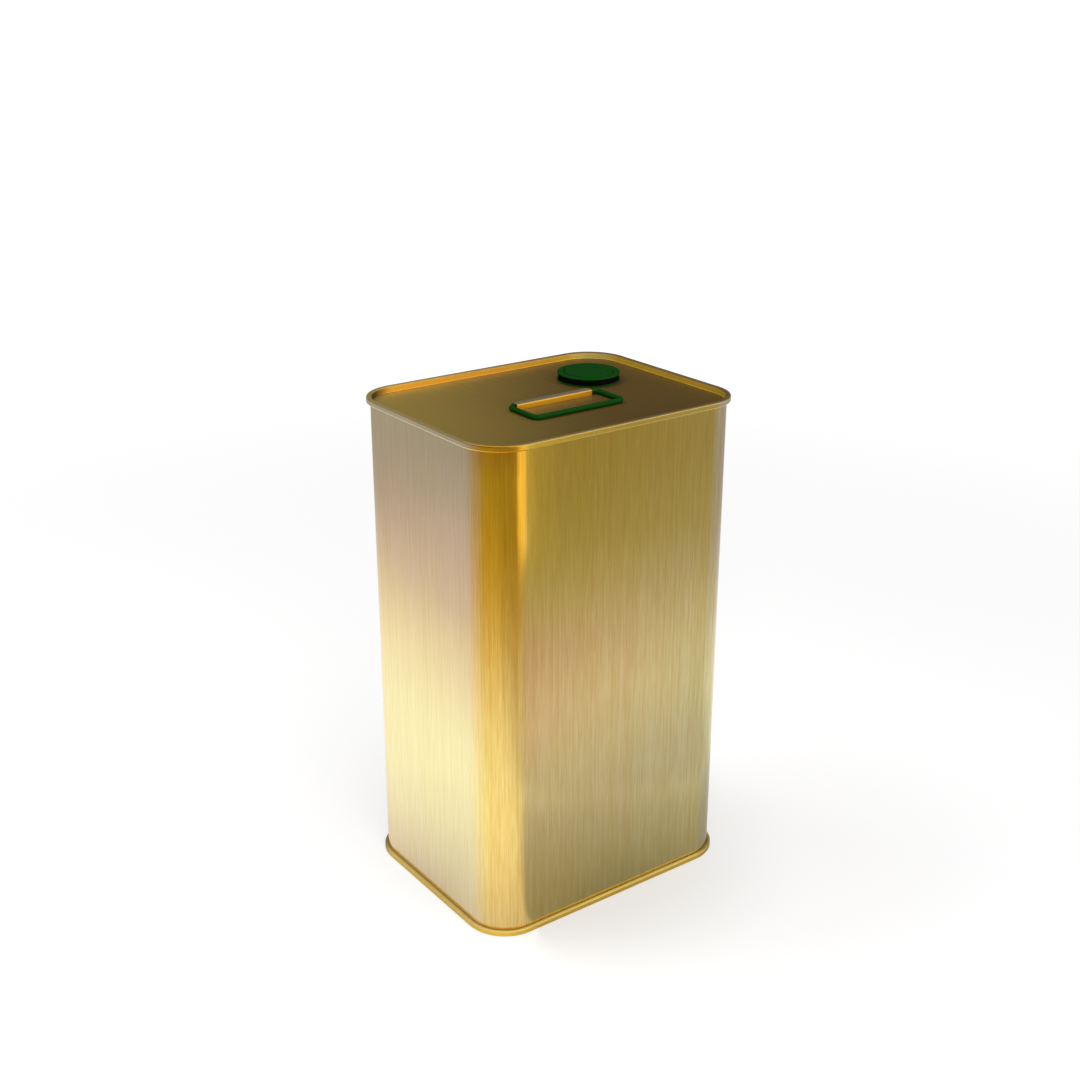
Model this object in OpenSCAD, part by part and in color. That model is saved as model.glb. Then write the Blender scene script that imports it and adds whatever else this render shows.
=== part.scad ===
// Rectangular olive oil tin with a lift-up pouring spout and a lying bail handle.
// X runs along the broad side, Y along the narrow side, Z up, and the origin is at the middle of the base.
// A tin like this is a welded sheet sleeve, closed by two pressed ends that are double seamed to it.

/* [Tin] */
// Width of the sleeve over its flat sides
body_w = 150; // [110:1:220]
// Depth of the sleeve over its flat sides
body_d = 117; // [80:1:170]
// Height of the tin over both seams
tin_h = 255; // [120:1:340]
// Outside radius of the sleeve's four corners
body_r = 20; // [16:1:30]
// Thickness of the sleeve's tinplate
plate_t = 0.3; // [0.24:0.02:0.4]

/* [Ends and double seams] */
// Thickness of the tinplate of the two ends
end_t = 0.3; // [0.24:0.02:0.4]
// Height of a double seam
seam_h = 3; // [2.6:0.1:4]
// Thickness of the sealing compound between two layers of a seam
compound_t = 0.35; // [0.25:0.05:0.5]
// Depth of an end's panel below the rim of its seam
countersink = 3.2; // [2.8:0.1:5]
// Width of the flat border round the bottom end's stiffening panel
border_w = 10; // [7:0.5:12]
// Height of the step in the bottom end
step_h = 1.2; // [0.8:0.1:2]
// Width of the lap at the sleeve's side weld
lap_w = 1.2; // [0.8:0.1:2]

/* [Handle] */
// Distance of the handle's pivot from the middle of the tin, towards the front
pivot_y = 3; // [0:0.5:10]
// Width of the handle over its bars' centre lines
handle_w = 52.5; // [40:0.5:70]
// Reach of the handle from its pivot to its grip bar
handle_reach = 21.5; // [16:0.5:30]
// Diameter of the handle's bars
bar_d = 2.6; // [2.4:0.1:3.2]
// Diameter of the handle's pivot inside its strap
pivot_d = 2.2; // [1.6:0.1:2.2]
// Bend radius of the handle's corners, at the bars' centre lines
handle_r = 2.8; // [2.4:0.2:5]
// Distance that the handle lies aside from the middle of its strap, within its side play
handle_aside = 0.6; // [0:0.1:1.5]
// Room between the strap and the handle's corner on the side where the handle lies closer
strap_end_room = 0.2; // [0.2:0.1:3]
// Width of the strap's channel, outside
strap_w = 4.8; // [4.2:0.1:6.5]
// Thickness of the strap's tinplate
strap_t = 0.35; // [0.25:0.05:0.5]
// Width of the strap's welded foot behind the channel
foot_w = 5.5; // [4:0.5:8]
// Length that the foot is set in from each end of the strap
foot_in = 6; // [3:0.5:10]
// Number of spot welds in the foot
weld_n = 4; // [2:1:6]
// Diameter of a spot weld
weld_d = 2.4; // [1.6:0.2:3]

/* [Spout] */
// Place of the spout from the middle of the tin, along the broad side
spout_x = 39.7; // [36:0.1:45]
// Place of the spout from the middle of the tin, along the narrow side
spout_y = 19.6; // [10:0.1:24]
// Diameter of the collar's flange
flange_d = 32.2; // [31:0.1:34]
// Thickness of the collar's flange
flange_t = 0.7; // [0.6:0.1:1.2]
// Outside diameter of the collar's barrel, in the hole of the top end
barrel_d = 26.6; // [26:0.1:27.4]
// Wall of the collar's barrel
barrel_wall = 1.2; // [1:0.1:1.4]
// Outside diameter of the pouring tube
tube_d = 20.8; // [20:0.1:21.4]
// Wall of the pouring tube
tube_wall = 1.2; // [0.8:0.1:1.6]
// Height that the pouring tube rises when it is pulled
travel = 16; // [10:0.5:24]
// Height of the guide bead at the tube's foot
foot_h = 1.6; // [1.2:0.1:2.4]
// Height of the gap between the flange and the cap's disc
waist_h = 2.85; // [2.6:0.05:4]
// Diameter of the cap's disc
disc_d = 32.2; // [31:0.1:34]
// Thickness of the cap's disc at its edge
disc_t = 0.85; // [0.7:0.05:1.4]
// Diameter of the raised middle of the disc
plateau_d = 24.6; // [20:0.2:26]
// Height of the raised middle above the disc
plateau_h = 0.35; // [0.2:0.05:0.8]
// Depth that the cap's plug reaches into the tube
plug_depth = 5; // [3:0.5:8]

/* [Hidden] */
$fn = 96;
// Enough for a cut to pass right through a face
over = 1;

// Films of compound where the layers of a seam are pressed close together
film = 0.1;
// Least space round the compound, and between a weld lap and its neighbours
hair = 0.02;
// Centre line radius of the bends in the sheet, and the flat steps that each bend is drawn with
bend_r = 0.55;
fold_r = 0.45;
bend_steps = 4;
// Room at the tips of the two hooks inside a seam
tip_gap = 0.35;

// Faces of a seam, counted outwards from the sleeve's outer face
cover_hook_in = compound_t;
body_hook_in = cover_hook_in + end_t + compound_t;
seam_wall_in = body_hook_in + plate_t + compound_t;
seam_out = seam_wall_in + end_t;
chuck_in = plate_t + film + end_t;
// Heights in a seam, counted from its rim into the tin
body_turn = end_t + film;
cover_hook_tip = body_turn + plate_t + tip_gap;
body_hook_tip = seam_h - end_t - tip_gap;
// The ring of an end's section reaches this far in from the sleeve's outer face
ring_in = chuck_in + 2.4;
step_in = chuck_in + border_w;
step_ring_in = step_in + 2.4;
panel_z = tin_h - countersink;

// Strap and handle
strap_room = 0.15;
strap_h = pivot_d + 2 * strap_room + strap_t;
strap_l = handle_w - 2 * (handle_r + handle_aside + strap_end_room);
pivot_z = panel_z + max(strap_room + pivot_d / 2, bar_d / 2);
weld_dip = 0.12;

// Spout
snap_room = 0.15;
snap_out = 0.5;
snap_h = 1.4;
slide_room = 0.1;
running_room = 0.05;
hole_d = barrel_d + 2 * snap_room;
bore_d = barrel_d - 2 * barrel_wall;
collar_lip_d = tube_d + 2 * slide_room;
collar_lip_t = 1.6;
foot_d = bore_d - 2 * running_room;
stop_d = foot_d - 2;
stop_t = 1;
mouth_out = 0.8;
mouth_t = 1.2;
skirt_t = 1.2;
mouth_room = 0.15;
rim_w = 0.5;
seat_depth = 0.35;
lip_room = 0.1;
plug_wall = 1;
disc_round = 0.3;
plateau_slope = 0.5;

disc_z = flange_t + waist_h;
skirt_in_d = tube_d + 2 * mouth_out + 2 * mouth_room;
skirt_d = skirt_in_d + 2 * skirt_t;
seal_in_d = skirt_d + 2 * mouth_room;
seal_d = flange_d - 2 * rim_w - 2 * hair;
collar_lip_z = flange_t - collar_lip_t;
tube_foot_z = collar_lip_z - slide_room - travel - foot_h;
collar_foot_z = tube_foot_z - slide_room - stop_t;
mouth_z = disc_z - 2 * lip_room;
plug_d = tube_d - 2 * tube_wall - 2 * running_room;

sheet_gold = [0.80, 0.62, 0.26];
seam_gold = [0.86, 0.62, 0.20];
rubber_grey = [0.55, 0.55, 0.52];
oil_green = [0.05, 0.27, 0.08];
seal_black = [0.03, 0.03, 0.03];

function unit(v) = v / norm(v);
function turned(v, a) = [v.x * cos(a) - v.y * sin(a), v.x * sin(a) + v.y * cos(a)];
function turn(u, v) = atan2(u.x * v.y - u.y * v.x, u.x * v.x + u.y * v.y);

// Points of one side of a bend at p, between the directions u and v, at off to the left of the centre line
function bend(p, u, v, r, off) =
    let (a = turn(u, v), s = sign(a), n = [-u.y, u.x] * s, c = p - u * r * tan(abs(a) / 2) + n * r)
    [for (k = [0:bend_steps]) c + turned(-n, a * k / bend_steps) * (r - s * off)];

// One side of a bent sheet whose centre line runs through path, with a bend of radius radii[i - 1] at point i
function sheet_side(path, radii, off) =
    let (last = len(path) - 1,
         d = [for (i = [0:last - 1]) unit(path[i + 1] - path[i])])
    concat(
        [path[0] + [-d[0].y, d[0].x] * off],
        [for (i = [1:last - 1]) each bend(path[i], d[i - 1], d[i], radii[i - 1], off)],
        [path[last] + [-d[last - 1].y, d[last - 1].x] * off]
    );

function backwards(v) = [for (i = [len(v) - 1:-1:0]) v[i]];

// Section of a bent sheet of thickness t
module sheet(path, radii, t) {
    polygon(concat(sheet_side(path, radii, t / 2), backwards(sheet_side(path, radii, -t / 2))));
}

// Carries a section round the sleeve's outline: its x counts outwards from the sleeve's outer face, its y is z
module round_the_tin() {
    for (mx = [0, 1], my = [0, 1])
        mirror([mx, 0, 0]) mirror([0, my, 0])
            translate([body_w / 2 - body_r, body_d / 2 - body_r, 0])
                rotate_extrude(angle = 90) translate([body_r, 0]) children();
    for (s = [0, 180]) {
        rotate([0, 0, s]) translate([body_w / 2, body_d / 2 - body_r, 0])
            rotate([90, 0, 0]) linear_extrude(body_d - 2 * body_r) children();
        rotate([0, 0, s + 90]) translate([body_d / 2, body_w / 2 - body_r, 0])
            rotate([90, 0, 0]) linear_extrude(body_w - 2 * body_r) children();
    }
}

// Flat plate with the sleeve's outline, drawn in by inset
module tin_plate(inset, t) {
    r = body_r - inset;
    linear_extrude(t) union() {
        square([body_w - 2 * body_r, body_d - 2 * inset], center = true);
        square([body_w - 2 * inset, body_d - 2 * body_r], center = true);
        for (x = [-1, 1], y = [-1, 1])
            translate([x * (body_w / 2 - body_r), y * (body_d / 2 - body_r)]) circle(r);
    }
}

// Section of the sleeve's turned-out edge and wall, from a hook's tip to the height z, with y from the rim
sleeve_hook = [
    [body_hook_in + plate_t / 2, body_hook_tip],
    [body_hook_in + plate_t / 2, body_turn + plate_t / 2],
    [-plate_t / 2, body_turn + plate_t / 2]
];

module sleeve_section(t) {
    other = [for (p = backwards(sleeve_hook)) [p.x, tin_h - p.y]];
    sheet(concat(sleeve_hook, other), [bend_r, bend_r, bend_r, bend_r], t);
}

// Path of an end's sheet from its panel, up the chuck wall and over the seam to the tip of its hook
seam_path = [
    [-chuck_in + end_t / 2, countersink + end_t / 2],
    [-chuck_in + end_t / 2, end_t / 2],
    [seam_out - end_t / 2, end_t / 2],
    [seam_out - end_t / 2, seam_h - end_t / 2],
    [cover_hook_in + end_t / 2, seam_h - end_t / 2],
    [cover_hook_in + end_t / 2, cover_hook_tip]
];
seam_bends = [bend_r, bend_r, bend_r, bend_r, fold_r];

module top_section(t) {
    sheet(concat([[-ring_in, countersink + end_t / 2]], seam_path), seam_bends, t);
}

// The bottom end's panel steps into the tin inside a flat border, which stiffens it
module bottom_section(t) {
    deep = countersink + step_h + end_t / 2;
    sheet(
        concat(
            [[-step_ring_in, deep], [-step_in, deep], [-step_in, countersink + end_t / 2]],
            seam_path
        ),
        concat([fold_r, fold_r], seam_bends), t
    );
}

// What is left between the two sheets inside a seam
module compound_section() {
    difference() {
        translate([hair, end_t + hair])
            square([seam_wall_in - 2 * hair, seam_h - 2 * end_t - 2 * hair]);
        top_section(end_t + 2 * hair);
        sleeve_section(plate_t + 2 * hair);
    }
}

module at_top() {
    translate([0, 0, tin_h]) mirror([0, 0, 1]) children();
}

// Welded sleeve: its edges are turned out into the hooks of the two seams
module body_sleeve() color(sheet_gold) {
    lap_z = body_turn + plate_t + bend_r + tip_gap;
    round_the_tin() sleeve_section(plate_t);
    // The lap of the weld, inside the middle of the back
    translate([-lap_w / 2, body_d / 2 - 2 * plate_t, countersink + step_h + lap_z])
        cube([lap_w, 1.5 * plate_t, tin_h - 2 * (countersink + step_h + lap_z)]);
}

module bottom_end() color(seam_gold) {
    round_the_tin() bottom_section(end_t);
    translate([0, 0, countersink + step_h]) tin_plate(step_ring_in - over, end_t);
}

module bottom_seam_compound() color(rubber_grey) round_the_tin() compound_section();

module top_end() color(seam_gold) difference() {
    at_top() {
        round_the_tin() top_section(end_t);
        translate([0, 0, countersink]) tin_plate(ring_in - over, end_t);
    }
    translate([spout_x, spout_y, panel_z - end_t - over])
        cylinder(h = end_t + 2 * over, d = hole_d);
}

module top_seam_compound() color(rubber_grey) at_top() round_the_tin() compound_section();

// Pressed channel over the handle's pivot: its front edge stands on the panel and its foot is spot welded
module handle_strap() color(seam_gold) {
    mid = strap_t / 2;
    path = [
        [-strap_w / 2 + mid, 0],
        [-strap_w / 2 + mid, strap_h - mid],
        [strap_w / 2 - mid, strap_h - mid],
        [strap_w / 2 - mid, mid],
        [strap_w / 2 + foot_w, mid]
    ];
    foot_l = strap_l - 2 * foot_in;
    pitch = foot_l / weld_n;
    translate([0, -pivot_y, panel_z]) difference() {
        rotate([90, 0, 90]) linear_extrude(strap_l, center = true)
            sheet(path, [bend_r, bend_r, fold_r], strap_t);
        for (m = [0, 1]) mirror([m, 0, 0]) translate([foot_l / 2, strap_w / 2, -over])
            cube([foot_in + over, foot_w + over, strap_h + over]);
        for (i = [0:weld_n - 1])
            translate([(i + 0.5) * pitch - foot_l / 2, strap_w / 2 + foot_w / 2, strap_t - weld_dip])
                cylinder(h = over, d = weld_d);
    }
}

// One moulded ring of round bar, thinner where it turns in the strap
module handle() color(oil_green) {
    side = handle_w / 2;
    translate([handle_aside, -pivot_y, pivot_z]) {
        for (m = [0, 1]) mirror([m, 0, 0]) {
            translate([side - handle_r, -handle_r, 0])
                rotate_extrude(angle = 90) translate([handle_r, 0]) circle(d = bar_d);
            translate([side - handle_r, handle_r - handle_reach, 0])
                rotate([0, 0, -90]) rotate_extrude(angle = 90)
                    translate([handle_r, 0]) circle(d = bar_d);
            translate([side, -handle_r, 0]) rotate([90, 0, 0])
                cylinder(h = handle_reach - 2 * handle_r, d = bar_d);
        }
        translate([0, -handle_reach, 0]) rotate([0, 90, 0])
            cylinder(h = handle_w - 2 * handle_r, d = bar_d, center = true);
        rotate([0, 90, 0]) cylinder(h = handle_w - 2 * handle_r, d = pivot_d, center = true);
    }
}

module at_spout() {
    translate([spout_x, spout_y, panel_z]) children();
}

// Turned solid with the outline's points given as diameter and height
module turned_solid(points) {
    rotate_extrude() polygon([for (p = points) [p[0] / 2, p[1]]]);
}

// Collar: its flange lies on the panel, and a bead below the panel snaps it into the hole
module spout_collar() color(oil_green) at_spout() turned_solid([
    [collar_lip_d, flange_t], [seal_in_d, flange_t], [seal_in_d, flange_t - seat_depth],
    [flange_d - 2 * rim_w, flange_t - seat_depth], [flange_d - 2 * rim_w, flange_t],
    [flange_d - disc_round, flange_t], [flange_d, flange_t - disc_round], [flange_d, 0],
    [barrel_d, 0], [barrel_d, -end_t], [hole_d + 2 * snap_out, -end_t - snap_room],
    [hole_d + 2 * snap_out, -end_t - 2 * snap_room], [barrel_d, -end_t - snap_h],
    [barrel_d, collar_foot_z], [stop_d, collar_foot_z], [stop_d, collar_foot_z + stop_t],
    [bore_d, collar_foot_z + stop_t], [bore_d, collar_lip_z], [collar_lip_d, collar_lip_z]
]);

// Rubber seal: a thick ring that stands in the collar's seat and fills the waist under the cap's disc
module seal_ring() color(seal_black) at_spout() turned_solid([
    [seal_in_d, flange_t - seat_depth], [seal_d, flange_t - seat_depth],
    [seal_d, disc_z - lip_room - disc_round], [seal_d - 2 * disc_round, disc_z - lip_room],
    [seal_in_d, disc_z - lip_room]
]);

// Pouring tube: it slides in the collar between the stop at its foot and the lip at the flange
module spout_tube() color(oil_green) at_spout() turned_solid([
    [tube_d - 2 * tube_wall, tube_foot_z], [foot_d, tube_foot_z], [foot_d, tube_foot_z + foot_h],
    [tube_d, tube_foot_z + foot_h], [tube_d, mouth_z - mouth_t - mouth_out],
    [tube_d + 2 * mouth_out, mouth_z - mouth_t], [tube_d + 2 * mouth_out, mouth_z],
    [tube_d - 2 * tube_wall, mouth_z]
]);

// Cap: a thin disc to pull by, a skirt outside the tube's mouth and a hollow plug inside it
module spout_cap() color(oil_green) at_spout() union() {
    turned_solid([
        [0, disc_z], [disc_d - disc_round, disc_z], [disc_d, disc_z + disc_round],
        [disc_d, disc_z + disc_t - disc_round], [disc_d - disc_round, disc_z + disc_t],
        [plateau_d + plateau_slope, disc_z + disc_t], [plateau_d, disc_z + disc_t + plateau_h],
        [0, disc_z + disc_t + plateau_h]
    ]);
    turned_solid([
        [skirt_in_d, flange_t + lip_room], [skirt_d, flange_t + lip_room], [skirt_d, disc_z],
        [skirt_in_d, disc_z]
    ]);
    turned_solid([
        [plug_d - 2 * plug_wall, disc_z - plug_depth], [plug_d - 2 * disc_round, disc_z - plug_depth],
        [plug_d, disc_z - plug_depth + 2 * disc_round], [plug_d, disc_z],
        [plug_d - 2 * plug_wall, disc_z]
    ]);
}

body_sleeve();
bottom_end();
bottom_seam_compound();
top_end();
top_seam_compound();
handle_strap();
handle();
spout_collar();
seal_ring();
spout_tube();
spout_cap();
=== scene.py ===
import math

import bmesh
import bpy
import numpy as np
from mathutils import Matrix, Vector


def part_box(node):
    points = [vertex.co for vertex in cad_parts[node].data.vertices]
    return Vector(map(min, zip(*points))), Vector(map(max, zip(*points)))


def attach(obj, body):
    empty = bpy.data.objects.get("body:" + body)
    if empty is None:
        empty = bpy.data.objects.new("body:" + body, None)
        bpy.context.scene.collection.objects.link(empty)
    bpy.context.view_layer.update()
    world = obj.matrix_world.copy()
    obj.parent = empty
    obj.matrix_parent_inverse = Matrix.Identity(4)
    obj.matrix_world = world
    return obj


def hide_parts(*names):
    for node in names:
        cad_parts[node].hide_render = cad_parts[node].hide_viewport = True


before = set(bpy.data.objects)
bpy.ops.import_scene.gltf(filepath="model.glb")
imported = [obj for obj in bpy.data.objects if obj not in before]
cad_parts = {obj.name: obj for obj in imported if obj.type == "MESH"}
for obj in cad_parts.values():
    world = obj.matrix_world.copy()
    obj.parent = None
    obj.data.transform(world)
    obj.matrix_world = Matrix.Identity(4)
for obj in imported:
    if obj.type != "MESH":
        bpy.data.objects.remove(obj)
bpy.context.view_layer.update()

# The camera stands in front of the tin, to its left and above it, as in the photograph: its place, its
# turn towards +X and its tilt were fitted to the tin's straight edges and its three known sizes.
eye = (-0.41937, -0.56867, 0.45177)
turn_deg = 36.06
tilt_deg = 21.15
sensor_mm = 36
lens_mm = 49.81

camera = bpy.data.objects.new("camera", bpy.data.cameras.new("camera"))
camera.location = eye
camera.rotation_euler = (math.radians(90 - tilt_deg), 0, math.radians(-turn_deg))
camera.data.sensor_width = sensor_mm
camera.data.lens = lens_mm
bpy.context.scene.collection.objects.link(camera)
bpy.context.scene.camera = camera

# The sleeve is one sheet of tinplate, brushed and lacquered gold, rolled round four corners and welded
# along the middle of its back. Both its edges are turned out into the hooks of the double seams.
mm = 0.001
seam_out = 1.95 * mm
corner_r = 20 * mm
plate_t = 0.3 * mm
body_hook_in = 1.0 * mm
body_hook_tip = 2.35 * mm
body_turn = 0.4 * mm
bend_r = 0.55 * mm
weld_half = 0.45 * mm
weld_rise = 0.06 * mm
nugget_pitch = 6.9115 * mm
bare_half = 1.7 * mm
wall_start = 4 * mm
wall_n = 40

low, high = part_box("top_end")
half_w = high.x - seam_out
half_d = high.y - seam_out
tin_h = high.z


def rounded_outline(half_x, half_y, radius, per_corner, per_side, crowding=1.7):
    """Anticlockwise rounded rectangle, as one centre and one direction for each
    step round it. The point at a distance d outside the outline is centre +
    direction * (radius + d): a corner turns the direction about a fixed centre, and
    a side moves the centre along as share ** crowding, closest at its middle."""
    turn = np.linspace(0, np.pi / 2, per_corner + 1)
    spread = np.linspace(-1, 1, per_side + 1)[1:-1]
    slide = 0.5 + 0.5 * np.sign(spread) * np.abs(spread) ** crowding
    cores = np.array([(1, 1), (-1, 1), (-1, -1), (1, -1)]) * (half_x - radius, half_y - radius)
    centres, angles = [], []
    for quarter, core in enumerate(cores):
        following = cores[(quarter + 1) % len(cores)]
        centres += [np.tile(core, (len(turn), 1)), core + (following - core) * slide[:, None]]
        angles += [turn + quarter * np.pi / 2, np.full(len(slide), (quarter + 1) * np.pi / 2)]
    angles = np.concatenate(angles)
    return np.concatenate(centres), np.stack([np.cos(angles), np.sin(angles)], axis=1)


def bent_line(path, radii, steps=7):
    """Middle line of a bent sheet: the straight runs of path, with corner
    i rounded by radii[i - 1]. An arc starts radius * tan(half the turn)
    before its corner and turns about a centre square to the run."""
    path = np.array(path, float)
    runs = np.diff(path, axis=0)
    runs /= np.linalg.norm(runs, axis=1, keepdims=True)
    parts = [path[:1]]
    for corner, before, after, radius in zip(path[1:-1], runs[:-1], runs[1:], radii):
        turn = math.atan2(before[0] * after[1] - before[1] * after[0], before @ after)
        left = np.array([-before[1], before[0]]) * math.copysign(1, turn)
        start = corner - before * radius * math.tan(abs(turn) / 2)
        swing = np.linspace(0, abs(turn), steps + 1)[:, None]
        parts.append(start + left * radius * (1 - np.cos(swing)) + before * radius * np.sin(swing))
    parts.append(path[-1:])
    return np.concatenate(parts)


def carried_round(line, centres, directions, radius):
    """Grid of a section carried round an outline: row i, step j lies at centre j
    + direction j * (radius + line i's distance outwards), at line i's height."""
    reach = radius + line[:, :1, None]
    flat = centres[None] + directions[None] * reach
    return np.concatenate([flat, np.broadcast_to(line[:, 1:, None], flat.shape[:2] + (1,))], axis=2)


def surface(name, grid, close_rows=False, close_columns=False, uv=None, marks=None, sharp_deg=40):
    """Mesh object with a vertex for each grid point and a quad for each grid cell,
    joined up where a direction is closed. uv has one more row and column than the
    grid; marks are named numbers or colours, one a point. Points that meet, such
    as those of a pole, are merged, and edges sharper than sharp_deg stay sharp."""
    rows, columns = grid.shape[:2]
    i = np.arange(rows if close_rows else rows - 1)[:, None]
    j = np.arange(columns if close_columns else columns - 1)[None, :]
    cell = ((0, 0), (0, 1), (1, 1), (1, 0))
    quads = np.stack([(i + a) % rows * columns + (j + b) % columns for a, b in cell], axis=-1)
    mesh = bpy.data.meshes.new(name)
    mesh.from_pydata(grid.reshape(-1, 3).tolist(), [], quads.reshape(-1, 4).tolist())
    if uv is not None:
        corners = np.stack([uv[i + a, j + b] for a, b in cell], axis=2)
        mesh.uv_layers.new(name="sheet").data.foreach_set("uv", corners.ravel())
    for mark, values in (marks or {}).items():
        kind, field = ("FLOAT", "value") if values.ndim == 2 else ("FLOAT_COLOR", "color")
        mesh.attributes.new(mark, kind, "POINT").data.foreach_set(field, values.ravel())
    work = bmesh.new()
    work.from_mesh(mesh)
    bmesh.ops.remove_doubles(work, verts=work.verts, dist=0.0005 * mm)
    bmesh.ops.recalc_face_normals(work, faces=work.faces)
    work.to_mesh(mesh)
    work.free()
    mesh.shade_smooth()
    mesh.set_sharp_from_angle(angle=math.radians(sharp_deg))
    made = bpy.data.objects.new(name, mesh)
    bpy.context.scene.collection.objects.link(made)
    return made


def give_wall(piece, thick, edge=0.0):
    """Gives a pressed sheet its thickness, half to each side of its middle
    face, eases its cut edges and lets the flat faces set the shading."""
    wall = piece.modifiers.new("wall", "SOLIDIFY")
    wall.thickness = thick
    wall.offset = 0
    wall.use_even_offset = True
    if edge:
        eased = piece.modifiers.new("eased_edges", "BEVEL")
        eased.width = edge
        eased.segments = 2
        eased.limit_method = "ANGLE"
        eased.angle_limit = math.radians(60)
    piece.modifiers.new("flat_faces_lead", "WEIGHTED_NORMAL").keep_sharp = True


def add_node(tree, kind, sockets=None, **settings):
    """Adds one shader node, makes its settings, and sets or links its sockets, named or numbered."""
    made = tree.nodes.new("ShaderNode" + kind)
    for name, value in settings.items():
        setattr(made, name, value)
    for socket, value in (sockets or {}).items():
        if isinstance(value, bpy.types.NodeSocket):
            tree.links.new(value, made.inputs[socket])
        else:
            made.inputs[socket].default_value = value
    return made


def new_finish(name):
    """A material with its shader, and the tree that holds both."""
    finish = bpy.data.materials.new(name)
    finish.use_nodes = True
    return finish, finish.node_tree, finish.node_tree.nodes["Principled BSDF"]


def noise(tree, stretch, detail, spread=None, turn=(0, 0, 0)):
    """Noise on the object's own coordinates, with stretch ripples to the metre along X,
    Y and Z. With spread it is widened from its usual middle band to the range 0 to 1."""
    place = add_node(tree, "TexCoord").outputs["Object"]
    scaled = add_node(tree, "Mapping", {"Vector": place, "Scale": stretch, "Rotation": turn})
    made = add_node(tree, "TexNoise", {"Vector": scaled.outputs[0], "Scale": 1.0, "Detail": detail})
    if not spread:
        return made.outputs["Fac"]
    limits = {"Value": made.outputs["Fac"], "From Min": 0.5 - spread, "From Max": 0.5 + spread}
    return add_node(tree, "MapRange", limits).outputs[0]


def blend_colours(tree, share, first, second, kind="MIX"):
    """Mix of two colours by share, which is a number or a socket."""
    mix = add_node(tree, "Mix", {0: share, 6: first, 7: second}, data_type="RGBA", blend_type=kind)
    return mix.outputs[2]


def work_out(tree, operation, *values):
    """Result of one operation on numbers or sockets."""
    return add_node(tree, "Math", dict(enumerate(values)), operation=operation).outputs[0]


def between(tree, value, low_out, high_out, low_in=0.0, high_in=1.0):
    """A number that goes smoothly from low_out to high_out while value goes from low_in to high_in."""
    limits = {"Value": value, "From Min": low_in, "From Max": high_in,
              "To Min": low_out, "To Max": high_out}
    return add_node(tree, "MapRange", limits, interpolation_type="SMOOTHSTEP").outputs[0]


# Gold tones of the sleeve, painted with its reflections: pale_gold paints the mirrored pale floor
corner_gold = np.array([1.0, 0.56, 0.006, 1])
broad_gold = np.array([0.92, 0.60, 0.008, 1])
pale_gold = np.array([1.0, 0.86, 0.62, 1])
bare_tin = (0.66, 0.64, 0.58, 1)
weld_tone = (0.30, 0.27, 0.22, 1)
# Shares of the quarter turn from a narrow side to a broad
# one, where the corner's painted tone is reached and left
corner_turn = 0.36
broad_turn = 0.84
# Amounts of painted reflection and painted shade up the tin, as (height in metres, amount) pairs:
# how pale it is, how much greener and how much darker. A lean is what is added towards the right
# end of a broad side, or towards the back of a narrow one.
narrow_pale = ((0, 0.83), (0.10, 0.79), (0.15, 0.70), (0.24, 0.90))
narrow_green = ((0.16, 0.05), (0.20, 0))
narrow_dark = ((0.10, 0.045), (0.17, 0.159), (0.21, 0.102))
narrow_dark_lean = ((0.10, 0), (0.17, -0.19), (0.21, -0.095))
broad_pale = ((0.01, 0.51), (0.05, 0.67), (0.08, 0.71), (0.16, 0.49), (0.20, 0.26), (0.24, 0.20))
broad_pale_lean = ((0.12, 0.11), (0.20, 0.13))
broad_green = ((0, 0.09), (0.06, 0), (0.08, 0), (0.11, -0.02), (0.15, -0.02), (0.18, 0.06), (0.19, 0.08),
               (0.22, 0.06), (0.245, 0))
broad_green_lean = ((0.08, 0.03), (0.11, 0.12), (0.15, 0.12), (0.18, 0.03))
broad_dark = ((0.02, 0.12), (0.08, 0.11), (0.12, 0.08), (0.15, 0.11))
broad_dark_lean = ((0.05, 0.055), (0.08, 0.16), (0.11, 0.12), (0.15, -0.07), (0.20, -0.10),
                   (0.24, -0.07))
# Painted reflection in two corners, the front left and the back right: a deep gold
# that is paler at the foot and browner at the top
deep_corner_pale_top = 0.03
deep_corner_pale_foot = 0.47
deep_corner_top = 0.215
deep_corner_run = 0.13
deep_corner_green = 0.06
deep_corner_dark = ((0.09, 0), (0.14, 0.09), (0.20, 0.09), (0.24, 0.05))
deep_corner_brown = ((0.238, 0), (0.250, 1))
brown_cut = (0.14, 0.26, 0.20)
# The other two corners are a painted pale reflection, with painted shade at the front right one's foot
front_right_pale = 0.95
front_right_dark = ((0.05, 0.27), (0.10, 0))
back_left_pale = 0.45
wave_top = 0.08
wave_length = 0.22
wave_green = 0.04
narrow_wave_green = 0.05
narrow_calm = 0.55
broad_calm = 0.20
# Brushed hairs, lines and bands: ripples to the metre along
# X, Y and Z, and what each multiplies the tone by
hair_ripples, hair_cut = (1500, 1500, 65), (0.86, 0.80, 0.66, 1)
line_ripples, line_cut = (900, 900, 9), (0.94, 0.87, 0.77, 1)
band_ripples, band_cut = (120, 120, 2), (0.97, 0.99, 0.87, 1)
tin_cut = (0.82, 0.80, 0.76, 1)


def smooth(share):
    """Goes from 0 to 1 with share, level at both ends: 3 x^2 - 2 x^3."""
    share = np.clip(share, 0, 1)
    return share * share * (3 - 2 * share)


def by_height(heights, pairs, lean=((0, 0),), way=0):
    """Amount at each height, straight from each (height,
    amount) pair to the next, plus way times the lean's."""
    return np.interp(heights, *zip(*pairs)) + way * np.interp(heights, *zip(*lean))


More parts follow.
